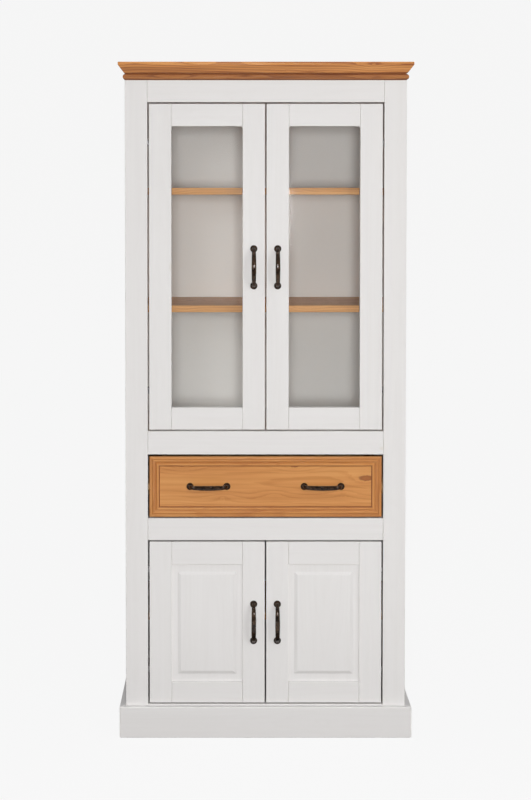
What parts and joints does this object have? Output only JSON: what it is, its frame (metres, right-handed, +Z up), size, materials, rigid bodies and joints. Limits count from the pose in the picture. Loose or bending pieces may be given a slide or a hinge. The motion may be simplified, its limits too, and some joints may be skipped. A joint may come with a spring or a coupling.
{
  "type": "pantry cabinet",
  "caption": "Tall two-tone pine pantry cabinet: glazed double doors above a wide moulded drawer and panelled double doors, with a moulded crown, plinth and bow handles.",
  "frame": {"origin": "middle of the footprint on the floor: halfway across the width, and halfway between the fronts of the door handles and the back panel's back", "axes": "+Z up, -Y out of the doors and drawer, +X to the right as seen by someone facing the doors"},
  "size_m": [0.764, 0.43, 1.76],
  "materials": {
    "white_lacquer": "pine boards under thin white lacquer, satin, with the grain just showing",
    "honey_pine": "solid pine stained honey and lacquered, satin, with grain and a few knots",
    "clear_pine": "planed pine, unstained, matt clear lacquer",
    "backboard": "thin fibreboard with a light grey-white painted face, matt",
    "antique_bronze": "cast metal with a dark antique bronze finish, rubbed lighter on the rosettes",
    "hinge_steel": "nickel-plated pressed steel",
    "glass": "clear 4 mm float glass"
  },
  "bodies": {
    "carcass": {"side_panel_left": "white_lacquer", "side_panel_right": "white_lacquer", "front_post_left": "white_lacquer", "front_post_right": "white_lacquer", "top_rail": "white_lacquer", "upper_cross_rail": "white_lacquer", "lower_cross_rail": "white_lacquer", "bottom_board": "white_lacquer", "drawer_bay_floor": "white_lacquer", "display_floor": "white_lacquer", "plinth_front": "white_lacquer", "plinth_left": "white_lacquer", "plinth_right": "white_lacquer", "crown_board": "honey_pine", "crown_base_board": "honey_pine", "shelf_lower": "honey_pine", "shelf_middle": "honey_pine", "shelf_top": "honey_pine", "back_panel": "backboard", "drawer_runner_left": "clear_pine", "drawer_runner_right": "clear_pine", "hinge_arm_upper_left_low": "hinge_steel", "hinge_arm_upper_left_high": "hinge_steel", "hinge_arm_upper_right_low": "hinge_steel", "hinge_arm_upper_right_high": "hinge_steel", "hinge_arm_lower_left_low": "hinge_steel", "hinge_arm_lower_left_high": "hinge_steel", "hinge_arm_lower_right_low": "hinge_steel", "hinge_arm_lower_right_high": "hinge_steel"},
    "drawer": {"drawer_front": "honey_pine", "drawer_front_moulding": "honey_pine", "drawer_bottom": "backboard", "drawer_side_left": "clear_pine", "drawer_side_right": "clear_pine", "drawer_back": "clear_pine", "drawer_handle_left": "antique_bronze", "drawer_handle_right": "antique_bronze"},
    "upper_left_door": {"door_frame_upper_left": "white_lacquer", "handle_upper_left": "antique_bronze", "glass_pane_left": "glass", "glazing_bead_left": "white_lacquer", "hinge_cup_upper_left_low": "hinge_steel", "hinge_cup_upper_left_high": "hinge_steel"},
    "upper_right_door": {"door_frame_upper_right": "white_lacquer", "handle_upper_right": "antique_bronze", "glass_pane_right": "glass", "glazing_bead_right": "white_lacquer", "hinge_cup_upper_right_low": "hinge_steel", "hinge_cup_upper_right_high": "hinge_steel"},
    "lower_left_door": {"door_frame_lower_left": "white_lacquer", "handle_lower_left": "antique_bronze", "door_panel_lower_left": "white_lacquer", "hinge_cup_lower_left_low": "hinge_steel", "hinge_cup_lower_left_high": "hinge_steel"},
    "lower_right_door": {"door_frame_lower_right": "white_lacquer", "handle_lower_right": "antique_bronze", "door_panel_lower_right": "white_lacquer", "hinge_cup_lower_right_low": "hinge_steel", "hinge_cup_lower_right_high": "hinge_steel"}
  },
  "joints": [
    {"name": "upper_left_door_hinge", "type": "hinge", "parent": "carcass", "child": "upper_left_door", "pos_m": [-0.303, -0.185, 1.2295], "axis": [0, 0, -1], "range_deg": [0, 95]},
    {"name": "upper_right_door_hinge", "type": "hinge", "parent": "carcass", "child": "upper_right_door", "pos_m": [0.303, -0.185, 1.2295], "axis": [0, 0, 1], "range_deg": [0, 95]},
    {"name": "lower_left_door_hinge", "type": "hinge", "parent": "carcass", "child": "lower_left_door", "pos_m": [-0.303, -0.185, 0.3], "axis": [0, 0, -1], "range_deg": [0, 95]},
    {"name": "lower_right_door_hinge", "type": "hinge", "parent": "carcass", "child": "lower_right_door", "pos_m": [0.303, -0.185, 0.3], "axis": [0, 0, 1], "range_deg": [0, 95]},
    {"name": "drawer_slide", "type": "slide", "parent": "carcass", "child": "drawer", "axis": [0, -1, 0], "range_m": [0, 0.28]}
  ]
}
